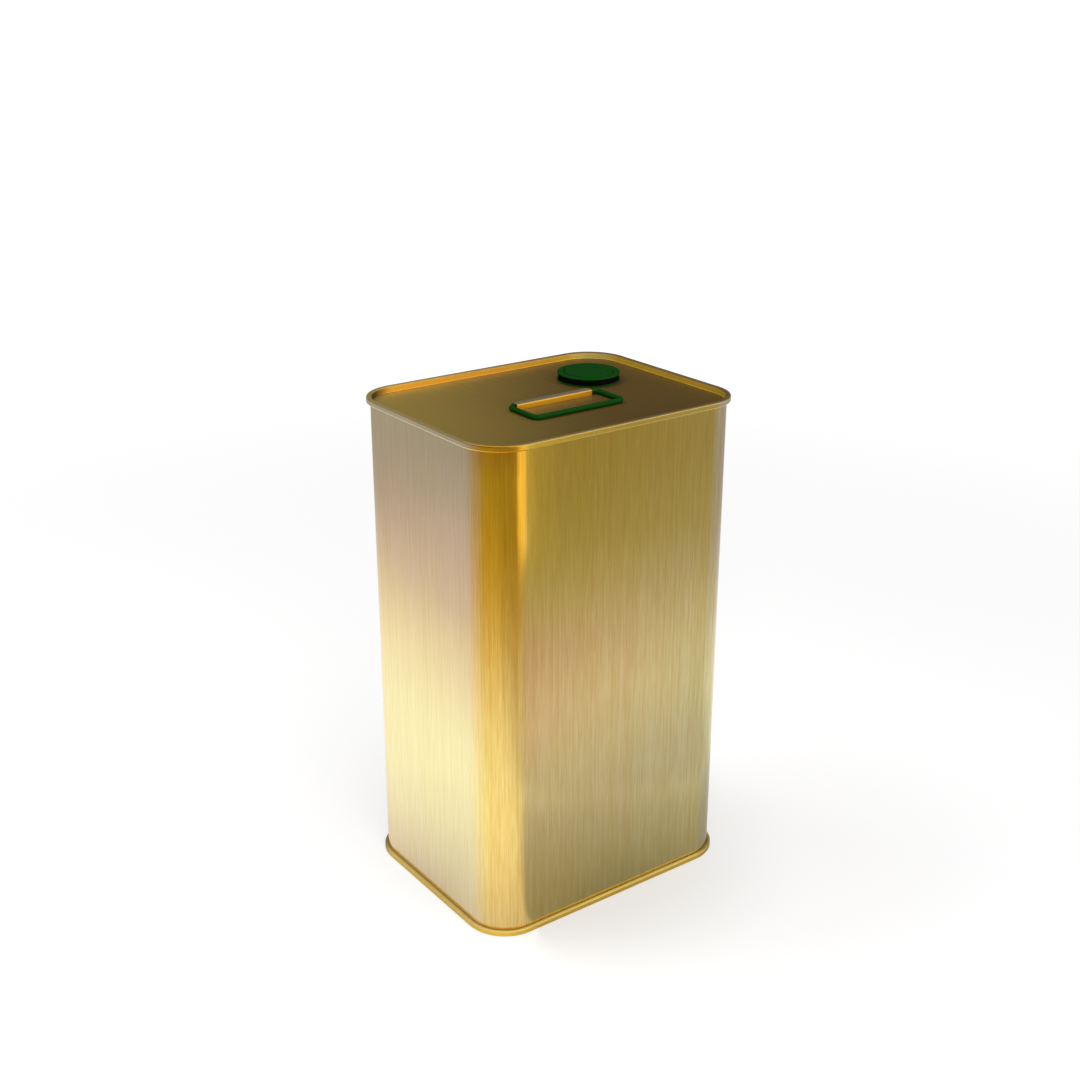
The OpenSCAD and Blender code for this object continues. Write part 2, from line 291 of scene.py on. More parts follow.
def lacquer_and_painted_light(centres, directions, heights):
    """Colour of the sleeve at each height and step round the tin, with its reflections and shade painted
    in: deep gold + (pale gold - deep gold) * pale, then green * (1 + green amounts + a slow wave), then
    everything * (1 - dark amounts). Pale paints the mirrored pale floor, and the dark amounts paint
    shade.
    The share of the quarter turn says how much each step is narrow side, broad side and corner, and the
    amounts are added up by these. The fourth channel is how plainly the brushed lines show."""
    to_right, to_back = directions[:, 0], directions[:, 1]
    turn = np.arctan2(np.abs(to_back), np.abs(to_right)) / (np.pi / 2)
    narrow = np.clip(1 - turn / corner_turn, 0, 1)
    broad = np.clip((turn - broad_turn) / (1 - broad_turn), 0, 1)
    corner = 1 - narrow - broad
    deep_corner = to_right * to_back > 0
    right, back = centres[:, 0] / half_w, centres[:, 1] / half_d
    down = smooth((deep_corner_top - heights) / deep_corner_run)

    deep_corner_pale = deep_corner_pale_top + (deep_corner_pale_foot - deep_corner_pale_top) * down
    other_pale = np.where(to_back > 0, back_left_pale, front_right_pale)
    corner_pale = np.where(deep_corner, deep_corner_pale, other_pale)
    pale = (narrow * by_height(heights, narrow_pale) + corner * corner_pale
            + broad * by_height(heights, broad_pale, broad_pale_lean, right))
    deep = corner_gold + (broad_gold - corner_gold) * broad[:, None]
    tone = deep + (pale_gold - deep) * pale[..., None]

    wave = np.cos(2 * np.pi * (heights - wave_top) / wave_length)
    tone[..., 1] *= (1 + (wave_green + narrow_wave_green * narrow) * wave
                     + narrow * by_height(heights, narrow_green) + corner * deep_corner_green * down
                     + broad * by_height(heights, broad_green, broad_green_lean, right))

    # Painted shade darkens the sides, the deep corners and the front right corner's foot
    front_right = (to_right > 0) & (to_back < 0)
    for share, dark in (
        (narrow, by_height(heights, narrow_dark, narrow_dark_lean, back)),
        (broad, by_height(heights, broad_dark, broad_dark_lean, right)),
        (corner * deep_corner, by_height(heights, deep_corner_dark)),
        (corner * front_right, by_height(heights, front_right_dark)),
    ):
        tone[..., :3] *= (1 - share * dark)[..., None]
    brown = corner * deep_corner * by_height(heights, deep_corner_brown)
    tone[..., :3] *= 1 - brown[..., None] * brown_cut
    tone[..., 3] = 1 - narrow_calm * narrow - broad_calm * broad
    return np.clip(tone, 0, 1)


def sleeve_finish():
    """Brushed, lacquered gold: long fine upright lines over broad upright bands
    vary the tone and the roughness, with a shallow relief. The sleeve's mark sets the
    tone, with its painted reflections and painted shade, and the sheet is left bare beside the weld."""
    finish, tree, shader = new_finish("sleeve_gold")
    hairs = noise(tree, hair_ripples, 2, 0.2)
    lines = noise(tree, line_ripples, 1, 0.18)
    bands = noise(tree, band_ripples, 1, 0.2)
    lacquered = add_node(tree, "Attribute", attribute_name="lacquer_and_painted_light").outputs
    tone = lacquered["Color"]
    for streaks, dark in ((bands, band_cut), (lines, line_cut), (hairs, hair_cut)):
        share = work_out(tree, "MULTIPLY", streaks, lacquered["Alpha"])
        tone = blend_colours(tree, share, tone, dark, "MULTIPLY")
    place = add_node(tree, "SeparateXYZ", {0: add_node(tree, "TexCoord").outputs["Object"]})
    aside = work_out(tree, "ABSOLUTE", place.outputs["X"])
    behind = between(tree, place.outputs["Y"], 0, 1, 0, 10 * mm)
    bare = work_out(tree, "MULTIPLY", between(tree, aside, 1, 0, bare_half, 1.15 * bare_half), behind)
    off_weld = between(tree, aside, 0, 1, 0.6 * weld_half, 1.2 * weld_half)
    tin = blend_colours(tree, off_weld, weld_tone, bare_tin)
    tin = blend_colours(tree, hairs, tin, tin_cut, "MULTIPLY")
    tone = blend_colours(tree, bare, tone, tin)
    tree.links.new(tone, shader.inputs["Base Color"])
    shader.inputs["Metallic"].default_value = 1
    rough = work_out(tree, "ADD", between(tree, lines, 0.13, 0.17), between(tree, bands, -0.01, 0.02))
    tree.links.new(rough, shader.inputs["Roughness"])
    shader.inputs["Coat Weight"].default_value = 0.15
    shader.inputs["Coat Roughness"].default_value = 0.25
    relief = add_node(tree, "Bump", {"Height": hairs, "Strength": 0.2, "Distance": 0.008 * mm})
    tree.links.new(relief.outputs[0], shader.inputs["Normal"])
    return finish


around_tin = rounded_outline(half_w, half_d, corner_r, per_corner=20, per_side=32)
hook = [
    (body_hook_in + plate_t / 2, body_hook_tip),
    (body_hook_in + plate_t / 2, body_turn + plate_t / 2),
    (-plate_t / 2, body_turn + plate_t / 2),
]
top_hook = [(out, tin_h - height) for out, height in hook[::-1]]
sleeve_line = bent_line(hook + top_hook, [bend_r] * 4)
# Straight from one seam to the other, the wall gets rows to carry its weld and its reflections evenly
wall_rows = np.linspace(wall_start, tin_h - wall_start, wall_n)
wall = np.stack([np.full(len(wall_rows), -plate_t / 2), wall_rows], axis=1)
middle = len(sleeve_line) // 2
sleeve_line = np.concatenate([sleeve_line[:middle], wall, sleeve_line[middle:]])
sleeve_grid = carried_round(sleeve_line, *around_tin, corner_r)
# The weld stands out a little, in overlapping nuggets
at_back = (sleeve_grid[..., 1] > half_d - 2 * plate_t) & (np.abs(sleeve_line[:, 0]) < plate_t)[:, None]
nugget = 0.75 + 0.25 * np.cos(2 * np.pi * sleeve_grid[..., 2] / nugget_pitch)
ridge = np.exp(-((sleeve_grid[..., 0] / weld_half) ** 4))
sleeve_grid[..., 1] += at_back * ridge * nugget * weld_rise

# The sleeve's tone, with its reflections and shade painted in
sleeve_tone = lacquer_and_painted_light(*around_tin, sleeve_grid[..., 2])
sleeve = surface("sleeve", sleeve_grid, close_columns=True, marks={"lacquer_and_painted_light": sleeve_tone})
give_wall(sleeve, plate_t)
sleeve.data.materials.append(sleeve_finish())
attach(sleeve, "tin")
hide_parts("body_sleeve")

# Both ends are pressed from gold-lacquered tinplate. The seaming rollers fold their rims over the
# sleeve's hooks and leave the top one's face polished; the panels inside the chuck walls keep the satin
# of the sheet.
end_t = 0.3 * mm
seam_h = 3 * mm
countersink = 3.2 * mm
chuck_in = 0.7 * mm
cover_hook_in = 0.08 * mm
cover_hook_tip = 1.05 * mm
fold_r = 0.45 * mm
hook_fold_r = 0.2 * mm
step_in = 10.7 * mm
step_h = 1.2 * mm
panel_start = 3.1 * mm
step_ring_in = 13.1 * mm
panel_z = tin_h - countersink
# The ends are one gold sheet: these tones are its lit and shaded copies, with painted light
seam_gold = np.array([0.85, 0.52, 0.02, 1])
# A painted highlight on the plain seam's shoulder
shoulder_highlight = np.array([1.0, 0.74, 0.20, 1])
rim_tone = np.array([0.62, 0.50, 0.30, 1])
wall_left = np.array([0.97, 0.46, 0.035, 1])
wall_right = np.array([0.95, 0.62, 0.055, 1])
# Painted dark reflection and painted glint in the chuck wall's back left and back right corners
wall_dark_reflection = np.array([0.09, 0.055, 0.02, 1])
wall_glint = np.array([1.0, 0.78, 0.20, 1])
# Painted shade: the panel deepens towards its right and front, away from the key lamp
panel_pale = np.array([0.41, 0.292, 0.064, 1])
panel_deep = np.array([0.175, 0.103, 0.020, 1])
panel_shade_way = np.array([1, -0.5])
inside_metal = 0.6
cloud_cut = (0.93, 0.93, 0.95, 1)
grain_cut = (0.94, 0.93, 0.90, 1)
grain_along_x = (30, 900, 900)
grain_along_y = (900, 30, 900)
# Where the marks change: the panel's painted shade over its plan, the polished face's inner edge
# on the sides and at the front bend, and the painted highlight on a plain seam's shoulder under its top
panel_shade_from = -1.2 * half_w
panel_shade_run = 1.7 * half_w
face_in = 0.25 * mm
face_run = 0.08 * mm
bend_face_in = 0.5 * mm
shoulder_down = 0.70 * mm
shoulder_run = 0.12 * mm
seam_lacquer = 0.15
rim_share = 0.15
# Painted shade on the plain seam's broad sides and on its front right and back left corners
broad_seam_shade = 0.35
bend_seam_shade = 0.5


def end_finish(name, along):
    """Lacquer over rolled sheet, with a faint grain along the rolling. The
    mark tone is its colour, and the mark polish is 1 where the rollers left
    it as bright as bare metal and 0 where it keeps the sheet's satin."""
    finish, tree, shader = new_finish(name)
    polish = add_node(tree, "Attribute", attribute_name="polish").outputs["Fac"]
    tone = add_node(tree, "Attribute", attribute_name="tone").outputs["Color"]
    grain = noise(tree, along, 2, 0.2)
    clouds = noise(tree, (28, 28, 28), 3, 0.25)
    tone = blend_colours(tree, clouds, tone, cloud_cut, "MULTIPLY")
    tone = blend_colours(tree, between(tree, grain, 0, 1, 0.1, 0.9), tone, grain_cut, "MULTIPLY")
    tree.links.new(tone, shader.inputs["Base Color"])
    tree.links.new(between(tree, polish, inside_metal, 1.0), shader.inputs["Metallic"])
    satin = work_out(tree, "ADD", between(tree, polish, 0.45, 0.26), between(tree, grain, -0.03, 0.03))
    tree.links.new(satin, shader.inputs["Roughness"])
    relief = add_node(tree, "Bump", {"Height": grain, "Strength": 0.15, "Distance": 0.008 * mm})
    tree.links.new(relief.outputs[0], shader.inputs["Normal"])
    return finish


def end_marks(grid, line, around, plain_seam):
    """Marks of an end's points. tone paints light and shade into one gold sheet: a shaded brown panel
    with painted shade that deepens towards its right and front, a lit orange chuck wall with a painted
    dark reflection in the back left corner and a painted glint in the back right one, a rim shaded like
    the panel, and the sleeve's painted tone on the seam's face. A plain seam is one gold instead, with
    painted shade on its broad sides and on two corners and a painted highlight on its shoulder. polish
    is
    1 on the lacquered face and on the front left bend. The grid's last rows are the section's line."""
    centres, directions = around
    out = np.full((len(grid), 1), -step_ring_in)
    out[-len(line):, 0] = line[:, 0]
    depth = np.minimum(grid[..., 2], tin_h - grid[..., 2])
    to_right, to_back = directions[:, 0], directions[:, 1]
    front_left = np.clip(-to_right, 0, 1) * np.clip(-to_back, 0, 1) * 2
    back_left = np.clip(-to_right, 0, 1) * np.clip(to_back, 0, 1) * 2
    back_right = np.clip(to_right, 0, 1) * np.clip(to_back, 0, 1) * 2
    panel_share = smooth((grid[..., :2] @ panel_shade_way - panel_shade_from) / panel_shade_run)[..., None]
    panel = panel_pale + (panel_deep - panel_pale) * panel_share
    wall = wall_left + (wall_right - wall_left) * smooth(grid[..., :1] / half_w)
    wall = wall + (wall_dark_reflection - wall) * back_left[:, None] + (wall_glint - wall) * back_right[:, None]
    rim = panel + (rim_tone - panel) * rim_share
    in_panel = (out < -chuck_in - end_t / 2)[..., None]
    in_wall = (out < -chuck_in + 0.55 * end_t)[..., None]
    seam = lacquer_and_painted_light(centres, directions, grid[..., 2])
    if plain_seam:
        face = (out > 0) * np.ones(depth.shape)
        seam = seam_gold + (seam - seam_gold) * seam_lacquer
        shoulder = np.clip((depth - seam_h + shoulder_down) / shoulder_run, 0, 1)[..., None]
        seam = seam + (shoulder_highlight - seam) * shoulder
        other_bends = np.clip(-2 * to_right * to_back, 0, 1)[:, None]
        on_broad = np.abs(directions[:, 1:]) ** 8
        seam[..., :3] *= (1 - broad_seam_shade * on_broad) * (1 - bend_seam_shade * other_bends)
    else:
        face = np.clip((out - seam_out + face_in) / face_run, 0, 1)
        face = np.maximum(face, front_left * (out > seam_out - bend_face_in))
        face = np.where(depth > seam_h / 2, 1, face) * (out > 0)
    tone = np.where(in_panel, panel, np.where(in_wall, wall, rim))
    tone = tone + (seam - tone) * face[..., None]
    return {"tone": tone, "polish": face * (not plain_seam)}


def end_line(lead, lead_radii, height_of):
    """Middle line of an end from its panel, up the chuck wall, over the seam to the tip of its hook."""
    line = bent_line(lead + [
        (-chuck_in + end_t / 2, countersink + end_t / 2),
        (-chuck_in + end_t / 2, end_t / 2),
        (seam_out - end_t / 2, end_t / 2),
        (seam_out - end_t / 2, seam_h - end_t / 2),
        (cover_hook_in + end_t / 2, seam_h - end_t / 2),
        (cover_hook_in + end_t / 2, cover_hook_tip),
    ], lead_radii + [bend_r] * 4 + [hook_fold_r])
    line[:, 1] = height_of(line[:, 1])
    return line


deep = countersink + step_h + end_t / 2
bottom_lead = [(-step_ring_in, deep), (-step_in, deep), (-step_in, countersink + end_t / 2)]
bottom_line = end_line(bottom_lead, [fold_r, fold_r, bend_r], lambda depth: depth)
bottom_grid = carried_round(bottom_line, *around_tin, corner_r)
# The raised middle runs in to the centre on ever smaller outlines
shrink = np.linspace(0, 1, 7)[:-1, None, None]
middle_rows = bottom_grid[:1] * shrink * (1, 1, 0) + bottom_grid[:1] * (0, 0, 1)
bottom_grid = np.concatenate([middle_rows, bottom_grid])
bottom = surface("bottom", bottom_grid, close_columns=True,
                 marks=end_marks(bottom_grid, bottom_line, around_tin, plain_seam=True))
give_wall(bottom, end_t)
bottom.data.materials.append(end_finish("bottom_gold", grain_along_x))
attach(bottom, "tin")
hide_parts("bottom_end")

# The top end's panel runs from the chuck wall in to the round hole that the spout's
# collar snaps into. The grain of its sheet runs from front to back.
hole_d = 26.9 * mm
spout_low, spout_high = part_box("spout_cap")
spout_axis = np.array([(spout_low.x + spout_high.x) / 2, (spout_low.y + spout_high.y) / 2])

top_line = end_line([(-panel_start, countersink + end_t / 2)], [bend_r], lambda depth: tin_h - depth)
top_grid = carried_round(top_line, *around_tin, corner_r)
to_spout = top_grid[0, :, :2] - spout_axis
to_spout /= np.linalg.norm(to_spout, axis=1, keepdims=True)
hole = np.concatenate([spout_axis + to_spout * hole_d / 2, top_grid[0, :, 2:]], axis=1)
reach = np.linspace(0, 1, 13)[:-1, None, None]
panel_rows = hole + (top_grid[0] - hole) * reach
top_grid = np.concatenate([panel_rows, top_grid])
top = surface("top", top_grid, close_columns=True,
              marks=end_marks(top_grid, top_line, around_tin, plain_seam=False))
give_wall(top, end_t)
top.data.materials.append(end_finish("top_gold", grain_along_y))
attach(top, "tin")
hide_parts("top_end")

# Sealing compound fills what is left between the layers of both seams. It is a soft
# grey rubber, cast in place and never seen, so the frame's own solids keep it.
compound_dark = (0.20, 0.20, 0.18, 1)
compound_pale = (0.30, 0.30, 0.27, 1)


def compound_finish():
    """Matt grey rubber with a faint mottle."""
    finish, tree, shader = new_finish("seam_rubber")
    mottle = noise(tree, (300, 300, 300), 3, 0.25)
    tone = blend_colours(tree, mottle, compound_dark, compound_pale)
    tree.links.new(tone, shader.inputs["Base Color"])
    tree.links.new(between(tree, mottle, 0.6, 0.8), shader.inputs["Roughness"])
    return finish


compound = compound_finish()
for seam_node in ("bottom_seam_compound", "top_seam_compound"):
    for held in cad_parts[seam_node].material_slots:
        held.material = compound

# The strap is a narrow channel pressed from the same sheet over the handle's pivot. Its
# front edge stands on the panel, and the foot behind it is fixed with four spot welds.
strap_low, strap_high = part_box("handle_strap")
strap_t = 0.35 * mm
strap_w = 4.8 * mm
foot_w = 5.5 * mm
foot_in = 6 * mm
weld_n = 4
weld_d = 2.4 * mm
weld_dip = 0.12 * mm
heat_ring = 1.1
heat_width = 0.35
heat_most = 0.8
front_face = 0.3 * mm
# The strap's top and front are shaded and lit copies of one gold
strap_top_shaded = (0.26, 0.22, 0.15, 1)
strap_front_lit = (0.85, 0.43, 0.02, 1)
drawn_cut = (0.88, 0.84, 0.78, 1)
heat_tone = (0.32, 0.19, 0.07, 1)

strap_l = strap_high.x - strap_low.x
strap_front = strap_low.y
strap_top = strap_high.z


def strap_finish():
    """Lacquered gold over pressed sheet, painted as lit and shaded copies: bright orange on the upright
    front, a browner satin on the shaded other faces, with fine draw marks along the channel and browned
    rings round the spot welds. The mark front is 1 on the upright front, and the mark heat is how
    strongly a weld browned the gold."""
    finish, tree, shader = new_finish("strap_gold")
    drawn = noise(tree, (60, 2600, 2600), 3, 0.2)
    heat = add_node(tree, "Attribute", attribute_name="heat").outputs["Fac"]
    front = add_node(tree, "Attribute", attribute_name="front").outputs["Fac"]
    tone = blend_colours(tree, front, strap_top_shaded, strap_front_lit)
    tone = blend_colours(tree, between(tree, drawn, 0, 1, 0.1, 0.9), tone, drawn_cut, "MULTIPLY")
    tone = blend_colours(tree, heat, tone, heat_tone)
    tree.links.new(tone, shader.inputs["Base Color"])
    shader.inputs["Metallic"].default_value = inside_metal
    rough = work_out(tree, "ADD", between(tree, front, 0.50, 0.34), between(tree, drawn, -0.05, 0.05))
    tree.links.new(rough, shader.inputs["Roughness"])
    relief = add_node(tree, "Bump", {"Height": drawn, "Strength": 0.3, "Distance": 0.01 * mm})
    tree.links.new(relief.outputs[0], shader.inputs["Normal"])
    return finish


strap_path = [
    (strap_front + strap_t / 2, panel_z),
    (strap_front + strap_t / 2, strap_top - strap_t / 2),
    (strap_front + strap_w - strap_t / 2, strap_top - strap_t / 2),
    (strap_front + strap_w - strap_t / 2, panel_z + strap_t / 2),
]
strap_line = bent_line(strap_path + [(strap_front + strap_w + foot_w, panel_z + strap_t / 2)],
                       [bend_r, bend_r, fold_r])
foot_rows = np.linspace(strap_line[-2, 0], strap_line[-1, 0], 24)[1:]
foot = np.stack([foot_rows, np.full(len(foot_rows), panel_z + strap_t / 2)], axis=1)
strap_line = np.concatenate([strap_line[:-1], foot])
across = np.linspace(-1, 1, 121)
half_l = strap_l / 2 - foot_in * (strap_line[:, 0] > strap_front + strap_w)
strap_x = half_l[:, None] * across
strap_y = np.broadcast_to(strap_line[:, :1], strap_x.shape)
pitch = (strap_l - 2 * foot_in) / weld_n
to_weld = (strap_x / pitch + weld_n / 2) % 1 - 0.5
from_weld = np.hypot(to_weld * pitch, strap_y - strap_front - strap_w - foot_w / 2) / (weld_d / 2)
on_foot = (strap_line[:, 0] > strap_front + strap_w)[:, None]
dip = on_foot * weld_dip / (1 + from_weld ** 8)
strap_z = strap_line[:, 1:] - dip
heat_mark = on_foot * np.exp(-((from_weld - heat_ring) / heat_width) ** 2) * heat_most
upright = np.broadcast_to((strap_y < strap_front + front_face) * 1.0, strap_x.shape)
strap = surface("strap", np.stack([strap_x, strap_y, strap_z], axis=2),
                marks={"heat": heat_mark, "front": np.ascontiguousarray(upright)})
give_wall(strap, strap_t, edge=0.07 * mm)
strap.data.materials.append(strap_finish())
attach(strap, "tin")
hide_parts("handle_strap")

# The handle is one ring of round bar, moulded in green plastic. It is thinner where it turns
# in the strap, and a fine parting line runs round it where the two halves of the mould met.
bar_d = 2.6 * mm
pivot_d = 2.2 * mm
handle_r = 2.8 * mm
parting_rise = 0.05 * mm
parting_width = 0.12
neck_room = 0.5 * mm
neck_run = 0.3 * mm
plastic_tone = (0.0026, 0.047, 0.0026, 1)
plastic_dark = (0.0020, 0.040, 0.0020, 1)

handle_low, handle_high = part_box("handle")
handle_half_x = (handle_high.x - handle_low.x - bar_d) / 2


def plastic_finish():
    """Moulded plastic: a faint mottle in colour and gloss,
    and a skin as fine as the spark-eroded mould."""
    finish, tree, shader = new_finish("green_plastic")
    mottle = noise(tree, (260, 260, 260), 4, 0.25)
    skin = noise(tree, (5200, 5200, 5200), 2, 0.25)
    tree.links.new(blend_colours(tree, mottle, plastic_dark, plastic_tone), shader.inputs["Base Color"])
    tree.links.new(between(tree, mottle, 0.58, 0.50), shader.inputs["Roughness"])
    shader.inputs["Specular IOR Level"].default_value = 0.07
    relief = add_node(tree, "Bump", {"Height": skin, "Strength": 0.2, "Distance": 0.01 * mm})
    tree.links.new(relief.outputs[0], shader.inputs["Normal"])
    return finish


green_plastic = plastic_finish()

handle_back = handle_high.y - bar_d / 2
handle_front = handle_low.y + bar_d / 2
handle_z = (handle_low.z + handle_high.z) / 2
handle_x = (handle_low.x + handle_high.x) / 2
handle_half_y = (handle_back - handle_front) / 2
ring_centres, ring_directions = rounded_outline(handle_half_x, handle_half_y, handle_r,
                                                per_corner=12, per_side=40)
# The bar narrows just outside each end of the strap
past_strap = np.abs(ring_centres[:, 0] + handle_x) - strap_l / 2
in_strap = (ring_directions[:, 1] > 0.999) * np.clip((neck_room - past_strap) / neck_run, 0, 1)
bar_r = bar_d / 2 - in_strap * (bar_d - pivot_d) / 2
turn_about = np.linspace(0, 2 * np.pi, 49)[:-1, None]
parting = np.exp(-(np.sin(turn_about) / parting_width) ** 2) * parting_rise * (1 - in_strap)
bar_reach = handle_r + (bar_r + parting) * np.cos(turn_about)
handle_middle = (handle_x, (handle_back + handle_front) / 2)
handle_xy = ring_centres + ring_directions * bar_reach[..., None] + handle_middle
handle_grid = np.concatenate([handle_xy, (handle_z + bar_r * np.sin(turn_about))[..., None]], axis=2)
handle = surface("handle", handle_grid, close_rows=True, close_columns=True)
handle.data.materials.append(green_plastic)
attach(handle, "handle")
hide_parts("handle")

# The collar is green plastic too. Its flange lies on the panel round the hole, its barrel
# goes down through it, and a bead under the panel snaps it in. Its seat holds the seal.
flange_t = 0.7 * mm
hole_bead_r = 13.95 * mm
barrel_r = 13.3 * mm
bore_r = 12.1 * mm
collar_lip_r = 10.5 * mm
collar_lip_z = -0.9 * mm
stop_r = 11.05 * mm
seat_r = 12.7 * mm
seat_z = 0.35 * mm
rim_w = 0.5 * mm
bead_foot_z = -1.7 * mm
stop_h = 1 * mm

collar_low, collar_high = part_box("spout_collar")
flange_r = (collar_high.x - collar_low.x) / 2
collar_foot_z = collar_low.z - panel_z


def eased_section(corners, ease, open_ends=False):
    """Outline of a turned piece, each corner rounded by ease or as much as its
    shorter side allows. It is closed, unless it starts and ends on the axis."""
    points = np.array(corners, float)
    if not open_ends:
        start = points[:2].mean(axis=0)
        points = np.concatenate([[start], points[1:], points[:1], [start]])
    sides = np.linalg.norm(np.diff(points, axis=0), axis=1)
    runs = np.diff(points, axis=0) / sides[:, None]
    half_turn = np.arccos(np.clip((runs[:-1] * runs[1:]).sum(axis=1), -1, 1)) / 2
    room = 0.45 * np.minimum(sides[:-1], sides[1:]) / np.maximum(np.tan(half_turn), 0.01)
    line = bent_line(points, np.minimum(room, ease), steps=4)
    return line if open_ends else line[:-1]


def turned_piece(name, section, closed=True, sides=144):
    """Lathe about the spout's axis: a point at radius r and height z
    over the panel goes round as axis + r * (cos, sin), panel + z."""
    angle = np.linspace(0, 2 * np.pi, sides + 1)[:-1]
    flat = spout_axis + section[:, :1, None] * np.stack([np.cos(angle), np.sin(angle)], axis=1)
    height = np.broadcast_to(panel_z + section[:, 1:, None], flat.shape[:2] + (1,))
    piece = surface(name, np.concatenate([flat, height], axis=2), close_rows=closed, close_columns=True)
    piece.modifiers.new("flat_faces_lead", "WEIGHTED_NORMAL").keep_sharp = True
    return piece


collar = turned_piece("collar", eased_section([
    (collar_lip_r, flange_t), (seat_r, flange_t), (seat_r, seat_z), (flange_r - rim_w, seat_z),
    (flange_r - rim_w, flange_t), (flange_r, flange_t), (flange_r, 0), (barrel_r, 0),
    (barrel_r, -end_t), (hole_bead_r, -1.5 * end_t), (hole_bead_r, -2 * end_t), (barrel_r, bead_foot_z),
    (barrel_r, collar_foot_z), (stop_r, collar_foot_z), (stop_r, collar_foot_z + stop_h),
    (bore_r, collar_foot_z + stop_h), (bore_r, collar_lip_z), (collar_lip_r, collar_lip_z),
], 0.15 * mm))
collar.data.materials.append(green_plastic)
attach(collar, "tin")
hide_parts("spout_collar")

# The seal is a thick ring of moulded black rubber, pressed into the collar's seat. It stands round
# the cap's skirt and fills the waist under the cap's disc, where its black also stands in as painted
# shade.
seal_low, seal_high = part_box("seal_ring")
seal_r = (seal_high.x - seal_low.x) / 2
seal_ease = 0.3 * mm
seal_top = seal_high.z - panel_z
rubber_and_shade_black = (0.0012, 0.0015, 0.0011, 1)
rubber_bloom = (0.0030, 0.0034, 0.0027, 1)


def rubber_finish():
    """Moulded rubber: nearly black and matt, with a dry bloom in patches; the black also paints the
    waist's shade.
    """
    finish, tree, shader = new_finish("black_rubber")
    bloom = noise(tree, (420, 420, 420), 4, 0.25)
    tone = blend_colours(tree, bloom, rubber_and_shade_black, rubber_bloom)
    tree.links.new(tone, shader.inputs["Base Color"])
    tree.links.new(between(tree, bloom, 0.62, 0.8), shader.inputs["Roughness"])
    shader.inputs["Specular IOR Level"].default_value = 0.03
    return finish


seal = turned_piece("seal", eased_section([
    (seat_r, seat_z), (seal_r, seat_z), (seal_r, seal_top - seal_ease), (seal_r - seal_ease, seal_top),
    (seat_r, seal_top),
], 0.12 * mm))
seal.data.materials.append(rubber_finish())
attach(seal, "tin")
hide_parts("seal_ring")

# The pouring tube slides up out of the collar. A bead round its foot
# stops it at the top, and its mouth is thickened where the cap grips it.
tube_low, tube_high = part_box("spout_tube")
tube_r = 10.4 * mm
tube_bore_r = 9.2 * mm
tube_foot_r = (tube_high.x - tube_low.x) / 2
tube_foot_z = tube_low.z - panel_z
foot_h = 1.6 * mm
mouth_r = 11.2 * mm
mouth_t = 1.2 * mm
mouth_z = tube_high.z - panel_z

tube = turned_piece("tube", eased_section([
    (tube_bore_r, tube_foot_z), (tube_foot_r, tube_foot_z), (tube_foot_r, tube_foot_z + foot_h),
    (tube_r, tube_foot_z + foot_h), (tube_r, mouth_z - mouth_t - mouth_r + tube_r),
    (mouth_r, mouth_z - mouth_t), (mouth_r, mouth_z), (tube_bore_r, mouth_z),
], 0.2 * mm))
tube.data.materials.append(green_plastic)
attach(tube, "spout")
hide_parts("spout_tube")

# The cap is one moulding: a thin disc to pull by, raised in the middle
# inside a fine groove, a skirt outside the tube's mouth and a hollow plug
# inside it. The gate where the plastic came in leaves a small dimple.
disc_z = 3.55 * mm
disc_r = (spout_high.x - spout_low.x) / 2
cap_top = spout_high.z - panel_z
plateau_r = 12.3 * mm
plateau_rise = 0.35 * mm
disc_top = cap_top - plateau_rise
groove_w = 0.5 * mm
groove_deep = 0.4 * mm
groove_z = disc_top - groove_deep
skirt_r = 12.55 * mm
skirt_in_r = 11.35 * mm
skirt_foot = 0.8 * mm
plug_r = 9.15 * mm
plug_in_r = 8.15 * mm
plug_foot = spout_low.z - panel_z
plug_taper = 0.3 * mm
gate_r = 0.9 * mm
gate_dip = 0.1 * mm

cap = turned_piece("cap", eased_section([
    (0, cap_top - gate_dip), (0.6 * gate_r, cap_top - gate_dip), (gate_r, cap_top), (plateau_r, cap_top),
    (plateau_r + 0.25 * groove_w, groove_z), (plateau_r + groove_w, groove_z),
    (plateau_r + 1.3 * groove_w, disc_top), (disc_r, disc_top), (disc_r, disc_z), (skirt_r, disc_z),
    (skirt_r, skirt_foot), (skirt_in_r, skirt_foot), (skirt_in_r, disc_z), (plug_r, disc_z),
    (plug_r, plug_foot + 2 * plug_taper), (plug_r - plug_taper, plug_foot), (plug_in_r, plug_foot),
    (plug_in_r, disc_z), (0, disc_z),
], 0.25 * mm, open_ends=True), closed=False)
cap.data.materials.append(green_plastic)
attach(cap, "cap")
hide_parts("spout_cap")

# Plain pale floor. The camera sees white paper that keeps the tin's shadow, with a painted contact
# shadow beside the base. What the gold mirrors is painted light and not lit by the lamps: the paper
# glows with a painted pool of light in a ring round the tin, dimmer far off, and painted shade beside
# the base and where the tin's soft shadow falls.
floor_half = 30
paper_white = 0.8
camera_paper = 0.55
mirror_strength = 1.07
# (distance from the tin's middle, level) pairs of the paper's glow that
# the gold mirrors, in the painted pool of light and in the painted shade
painted_pool_rings = ((0.06, 0.46), (0.095, 0.74), (0.13, 0.90), (0.18, 1.0), (0.27, 1.0), (0.35, 0.96),
             (0.48, 0.72), (0.67, 0.46), (0.82, 0.38))
painted_shade_rings = ((0.06, 0.28), (0.084, 0.37), (0.115, 0.46), (0.16, 0.54), (0.236, 0.65), (0.29, 0.70),
                (0.344, 0.66), (0.41, 0.57), (0.48, 0.48), (0.57, 0.40), (0.67, 0.365), (0.8, 0.345))
